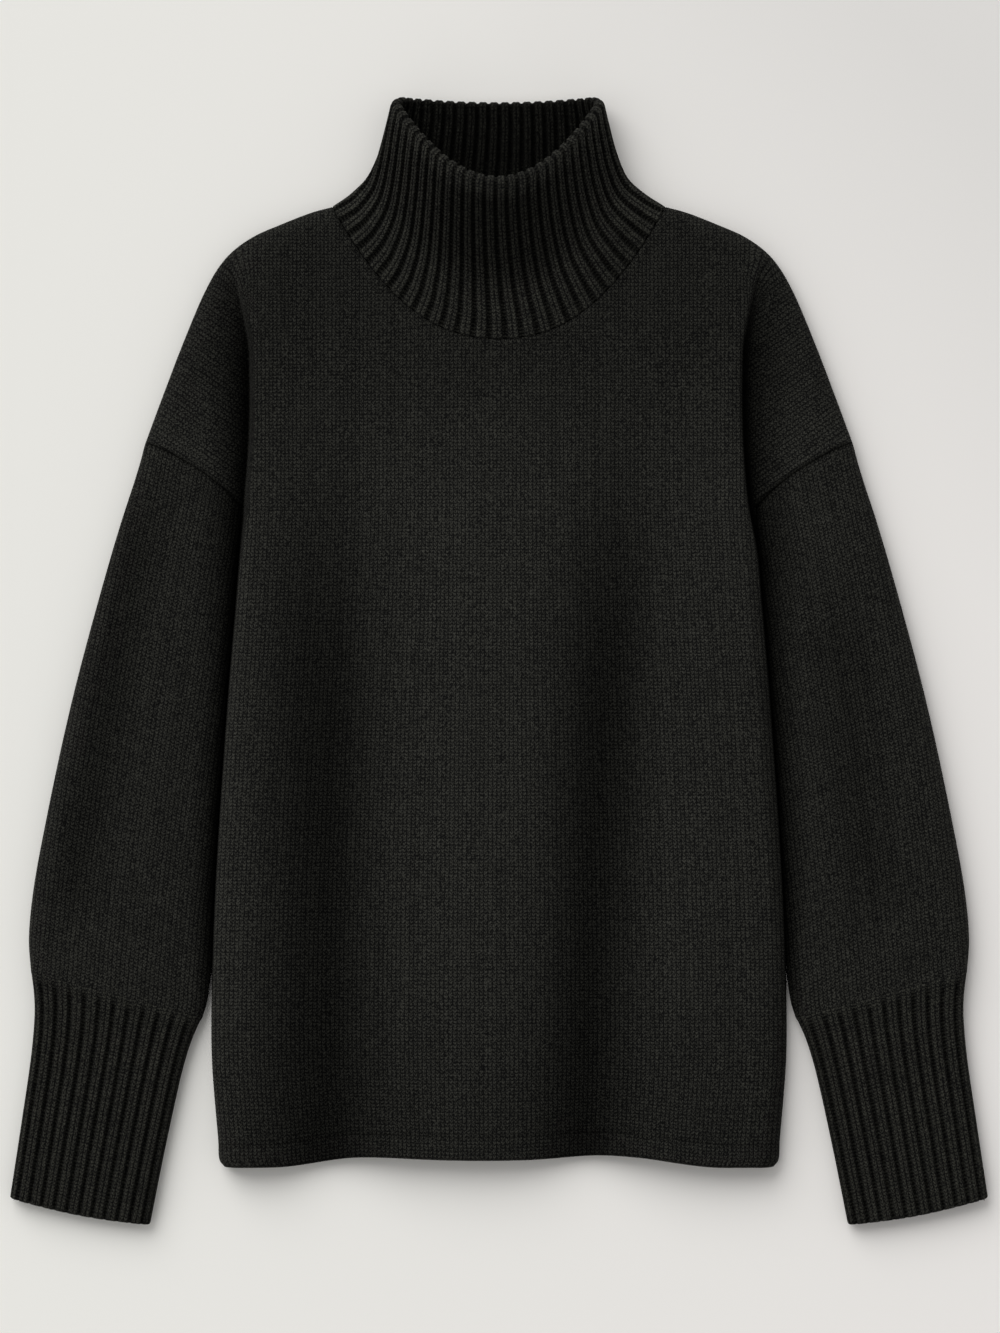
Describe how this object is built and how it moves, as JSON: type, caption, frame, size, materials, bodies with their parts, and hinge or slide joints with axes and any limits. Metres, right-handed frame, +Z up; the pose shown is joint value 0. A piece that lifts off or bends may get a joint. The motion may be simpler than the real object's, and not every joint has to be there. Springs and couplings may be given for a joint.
{
  "type": "turtleneck sweater",
  "caption": "Near-black chunky wool turtleneck sweater laid flat: ribbed standing collar, dropped shoulders, full sleeves and long ribbed cuffs.",
  "frame": {"origin": "the middle of the garment's outline, on the surface that the back panel rests on", "axes": "+Y from the hem towards the collar, +Z up out of the surface, towards the front panel, +X to the right in the picture"},
  "size_m": [0.7418, 0.8527, 0.0545],
  "materials": {
    "knit_body": "plain knit wool, soft and matt",
    "knit_sleeve": "plain knit wool, soft and matt",
    "rib_cuff": "deep two-wale rib knit wool",
    "rib_collar": "deep two-wale rib knit wool"
  },
  "bodies": {
    "root": {"front": "knit_body", "back": "knit_body", "sleeve_left": "knit_sleeve", "sleeve_right": "knit_sleeve", "cuff_left": "rib_cuff", "cuff_right": "rib_cuff", "collar": "rib_collar"}
  },
  "joints": []
}
